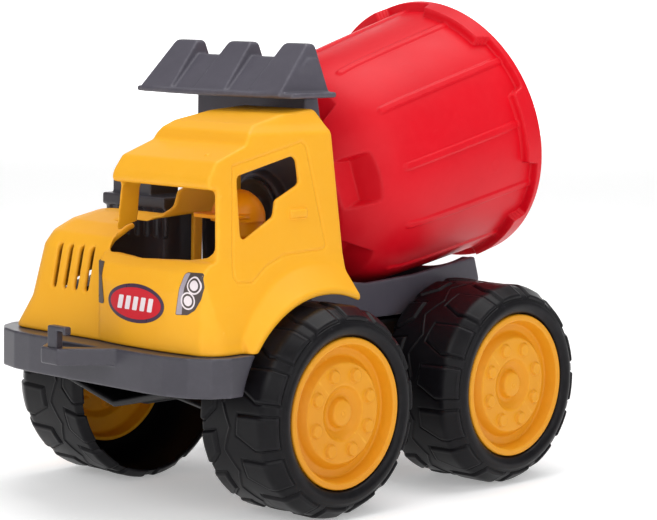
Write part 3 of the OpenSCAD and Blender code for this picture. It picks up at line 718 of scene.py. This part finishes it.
def edit_helmet(field, x, y, z):
    """A full dome that comes lower behind the ear than over the face, and a flat brim."""
    y = y - DY
    reach = np.sqrt(sum(((value - middle) / r) ** 2 for value, middle, r in zip((x, y, z), HAT, HAT_R)))
    dome = (reach - 1) * 12.4
    low_edge = 129.8 - 4.4 * smoothstep(y, -5.0, -1.5)
    dome = np.maximum(dome, low_edge - z)
    brim = (np.sqrt(((x - HAT[0]) / 12.5) ** 2 + ((y - BRIM_Y) / 13.7) ** 2) - 1) * 12.5
    brim = np.maximum(brim, np.abs(z - BRIM_Z + (y - BRIM_Y) * 0.03) - 0.85)
    field.values[:] = dome.astype(np.float32)
    field.add(brim.astype(np.float32), 0.8)
    crest = (np.abs(x - HAT[0]) + 0 * z < 2.2) & (z > 139) & (np.abs(field.values) < 1.5)
    field.values -= np.where(crest, 0.3, 0).astype(np.float32)


# ---------------------------------------------------------------- stickers

def sticker(name, outline, material, surface, lift, replaced=(), hole=None):
    """A thin film on the cab's front. outline is a closed run of (x, z) points, hole an inner run with as many."""
    outline = np.asarray(outline, float)
    ahead = np.roll(outline, -1, axis=0)
    if (outline[:, 0] * ahead[:, 1] - ahead[:, 0] * outline[:, 1]).sum() > 0:
        outline = outline[::-1]
        hole = None if hole is None else hole[::-1]
    centre = outline.mean(0)
    rings = 14
    rows = []
    for k in range(rings + 1):
        t = k / rings
        start = centre + 0 * outline if hole is None else np.asarray(hole, float)
        rows.append(start + (outline - start) * (t if hole is not None else max(t, 0.004)))
    flat = np.concatenate(rows)
    top = []
    for px, pz in flat:
        origin = Vector((px * MM, -0.2, pz * MM))
        hit, normal, _, _ = surface.ray_cast(origin, Vector((0, 1, 0)))
        if hit is None:
            hit, normal = Vector((px * MM, (DY - 60) * MM, pz * MM)), Vector((0, -1, 0))
        top.append(np.array(hit + normal * (lift * MM)) / MM)
    top = np.array(top)
    n = len(outline)
    i, j = np.meshgrid(np.arange(rings), np.arange(n), indexing="ij")
    j2 = (j + 1) % n
    quads = np.stack([i * n + j, i * n + j2, (i + 1) * n + j2, (i + 1) * n + j], axis=2).reshape(-1, 4)
    return new_piece(name, top, quads, material, "body", replaced)


def ring_points(cx, cz, rx, rz, n=72):
    t = np.arange(n) * TAU / n
    return np.stack([cx + rx * np.cos(t), cz + rz * np.sin(t)], axis=1)


def resampled(corners, n=96):
    """A rounded outline as n evenly spaced points."""
    line, _ = rounded(corners, step=0.1)
    pick = np.linspace(0, len(line), n, endpoint=False).astype(int)
    return line[pick]


# ---------------------------------------------------------------- small parts

def screw_heads(node):
    """Pan heads with a cross recess, and shanks, for the screws of a CAD node."""
    points, quads, base = [], [], 0

    def relief(along, radius, angle, where):
        arm = np.minimum(np.abs(radius * np.cos(angle)), np.abs(radius * np.sin(angle)))
        cross = (1 - smoothstep(arm, 0.28, 0.5)) * (1 - smoothstep(radius, 1.5, 1.8))
        return np.where((where < 2.6) & (radius < 2.2), 0.8 * cross, 0)

    for low, high in loose_parts(node):
        length = high[2] - low[2]
        outline = rounded([(0, 0.02, 0), (0, 1.8, 0.9), (0.9, 2.75, 0.5), (2.0, 2.75, 0.15), (2.0, 1.5, 0.1),
                           (length - 0.1, 1.4, 0.3), (length, 0.02, 0)], step=0.22, closed=False)
        p, q = lathe(outline, 64, relief, closed=False)
        centre = (low + high) / 2
        points.append(np.stack([centre[0] + p[:, 1], centre[1] + p[:, 2], low[2] + p[:, 0]], axis=1))
        quads.append(q + base)
        base += len(p)
    new_piece(node + "_pan", np.vstack(points), np.vstack(quads), STEEL, "body", [node])


# ---------------------------------------------------------------- the truck

for end, side, phase in (("front", 1, 0.32), ("front", -1, 0.1), ("rear", 1, 0.78), ("rear", -1, 0.55)):
    wheel(end, side, phase)

build_drum()
build_journal()

cab = moulded("cab_moulding", ["cab_shell"], 0.5, 0.75, YELLOW, "body", edit_cab)
moulded("bumper_moulding", ["bumper"], 0.45, 0.4, BUMPER_GREY, "body")
moulded("tow_hook_moulding", ["tow_hook"], 0.25, 0.3, BUMPER_GREY, "body")
moulded("visor_moulding", ["roof_visor"], 0.4, 0.55, GREY, "body")
moulded("drum_frame_moulding", ["drum_frame"], 0.5, 0.5, GREY, "body")
moulded("exhaust_moulding", ["exhaust_stack"], 0.4, 0.45, DARK_GREY, "body")
moulded("chassis_moulding", ["chassis"], 0.6, 0.5, BLACK, "body")
moulded("seat_moulding", ["driver_seat"], 0.5, 0.8, BLACK, "body")
moulded("driver_torso", ["driver_body"], 0.4, 0.6, AMBER, "body")
moulded("driver_face", ["driver_head"], 0.4, 0.6, AMBER, "body")
moulded("driver_hard_hat", ["driver_helmet"], 0.35, 0.4, AMBER, "body", edit_helmet)

for node in ("bumper_screws", "cab_screws", "frame_screws", "visor_screws"):
    screw_heads(node)
for node in ("axle_front", "axle_rear", "drum_screw"):
    frame["nodes"][node].data.materials.clear()
    frame["nodes"][node].data.materials.append(STEEL)

cab_surface = BVHTree.FromObject(cab, bpy.context.evaluated_depsgraph_get())
BADGE = (25.1, 96.6)
sticker("badge_border", ring_points(*BADGE, 18.4, 8.5), FILM_BORDER, cab_surface, 0.12, ["badge_sticker"])
sticker("badge_field", ring_points(*BADGE, 16.4, 6.9), FILM_RED, cab_surface, 0.2)
for k in range(5):
    x0 = BADGE[0] + 4.8 * (k - 2)
    bar = [(x0 - 0.9, BADGE[1] + 3.0, 0.4), (x0 + 2.1, BADGE[1] + 3.0, 0.4), (x0 + 0.9, BADGE[1] - 3.0, 0.4),
           (x0 - 2.1, BADGE[1] - 3.0, 0.4)]
    sticker(f"badge_bar_{k}", resampled(bar, 48), FILM_WHITE, cab_surface, 0.27)

LAMP = [(50.1, 94.1, 0.5), (56.7, 94.6, 2), (60.7, 97, 3), (63.6, 101.7, 6), (64.6, 107.1, 3), (63.6, 112.9, 1.4),
        (53.1, 112.5, 1.8)]
GLINT = [(50.4, 94.4, 0.3), (53.6, 94.6, 0.3), (54.2, 103.0, 3), (56.2, 112.3, 0.3), (53.3, 112.2, 1.5)]


def lamp():
    """The near headlight sticker: dark film, pale glint and two round lamps."""
    sticker("lamp_film", resampled(LAMP), FILM_DARK, cab_surface, 0.12, ["headlight_sticker_left"])
    sticker("lamp_glint", resampled(GLINT), FILM_PALE, cab_surface, 0.16)
    for k, (cx, cz) in enumerate(((60.0, 107.5), (56.9, 100.7))):
        sticker(f"lamp_ring_{k}", ring_points(cx, cz, 3.8, 3.8), FILM_WHITE, cab_surface, 0.2,
                hole=ring_points(cx, cz, 3.1, 3.1))
        sticker(f"lamp_spot_{k}", ring_points(cx, cz, 2.2, 2.2), FILM_WHITE, cab_surface, 0.2)


lamp()
far_lamp = frame["nodes"]["headlight_sticker_right"].data.materials
far_lamp.clear()
far_lamp.append(FILM_DARK)

# ---------------------------------------------------------------- camera, light and floor

CAMERA_AT = Vector((0.77984, -0.77981, 0.22868))
CAMERA_AZIMUTH, CAMERA_HEIGHT, CAMERA_ROLL = (math.radians(a) for a in (43.571, 6.330, 0.942))
LENS = 127.96


def build_camera():
    back = Vector((math.sin(CAMERA_AZIMUTH) * math.cos(CAMERA_HEIGHT),
                   -math.cos(CAMERA_AZIMUTH) * math.cos(CAMERA_HEIGHT), math.sin(CAMERA_HEIGHT)))
    right = Vector((math.cos(CAMERA_AZIMUTH), math.sin(CAMERA_AZIMUTH), 0))
    up = back.cross(right)
    right, up = (right * math.cos(CAMERA_ROLL) + up * math.sin(CAMERA_ROLL),
                 up * math.cos(CAMERA_ROLL) - right * math.sin(CAMERA_ROLL))
    data = bpy.data.cameras.new("camera")
    data.lens = LENS
    data.sensor_width = 36
    data.clip_end = 20
    camera = bpy.data.objects.new("camera", data)
    turn = Matrix((right, up, back)).transposed()
    camera.matrix_world = Matrix.Translation(CAMERA_AT) @ turn.to_4x4()
    bpy.context.scene.collection.objects.link(camera)
    bpy.context.scene.camera = camera


def area_light(name, at, target, size, power, colour=(1, 1, 1)):
    data = bpy.data.lights.new(name, "AREA")
    data.shape = "RECTANGLE"
    data.size, data.size_y = size
    data.energy = power
    data.color = colour
    light = bpy.data.objects.new(name, data)
    light.location = at
    light.rotation_euler = (Vector(target) - Vector(at)).to_track_quat("-Z", "Y").to_euler()
    bpy.context.scene.collection.objects.link(light)


def build_floor():
    mesh = bpy.data.meshes.new("floor")
    s = 6.0
    mesh.from_pydata([(-s, -s, 0), (s, -s, 0), (s, s, 0), (-s, s, 0)], [], [(0, 1, 2, 3)])
    floor = bpy.data.objects.new("floor", mesh)
    floor.location.z = -0.0002
    bpy.context.scene.collection.objects.link(floor)
    n = Nodes("floor_paper")
    n.link(n.mix(n.noise(3, 2), (0.86, 0.86, 0.86, 1), (0.88, 0.88, 0.88, 1)), n.shader.inputs["Base Color"])
    n.shader.inputs["Roughness"].default_value = 0.9
    n.shader.inputs["Emission Color"].default_value = (1, 1, 1, 1)
    n.shader.inputs["Emission Strength"].default_value = 0.3
    mesh.materials.append(n.material)


def build_backdrop():
    """A bright sheet behind the object, square to the camera."""
    away = Vector((-math.sin(CAMERA_AZIMUTH), math.cos(CAMERA_AZIMUTH), 0))
    across = Vector((away.y, -away.x, 0))
    half, high, far = 1.6, 1.7, 3.0
    mesh = bpy.data.meshes.new("backdrop")
    corners = [away * far + across * (side * half) + Vector((0, 0, z)) for side, z in
               ((-1, -0.5), (1, -0.5), (1, high), (-1, high))]
    mesh.from_pydata(corners, [], [(0, 1, 2, 3)])
    sheet = bpy.data.objects.new("backdrop", mesh)
    bpy.context.scene.collection.objects.link(sheet)
    n = Nodes("backdrop_paper")
    n.link(n.mix(n.noise(2, 2), (0.9, 0.9, 0.9, 1), (0.92, 0.92, 0.92, 1)), n.shader.inputs["Base Color"])
    n.shader.inputs["Roughness"].default_value = 0.9
    n.shader.inputs["Emission Color"].default_value = (1, 1, 1, 1)
    n.shader.inputs["Emission Strength"].default_value = 0.8
    mesh.materials.append(n.material)


build_camera()
build_floor()
build_backdrop()
area_light("key", (0.1, -1.6, 1.3), (0, 0, 0.1), (1.1, 1.1), 11)
area_light("fill", (1.6, -0.2, 0.9), (0, 0, 0.1), (1.2, 1.4), 7.5)
area_light("top", (0.1, 0.3, 1.7), (0, 0, 0.1), (1.4, 1.4), 18)
area_light("front", (1.1, -1.25, 0.45), (0, 0, 0.12), (0.9, 0.9), 4)
world = bpy.data.worlds.new("studio")
world.use_nodes = True
world.node_tree.nodes["Background"].inputs["Color"].default_value = (1, 1, 1, 1)
world.node_tree.nodes["Background"].inputs["Strength"].default_value = 0.36
bpy.context.scene.world = world
bpy.context.scene.view_settings.view_transform = "Standard"
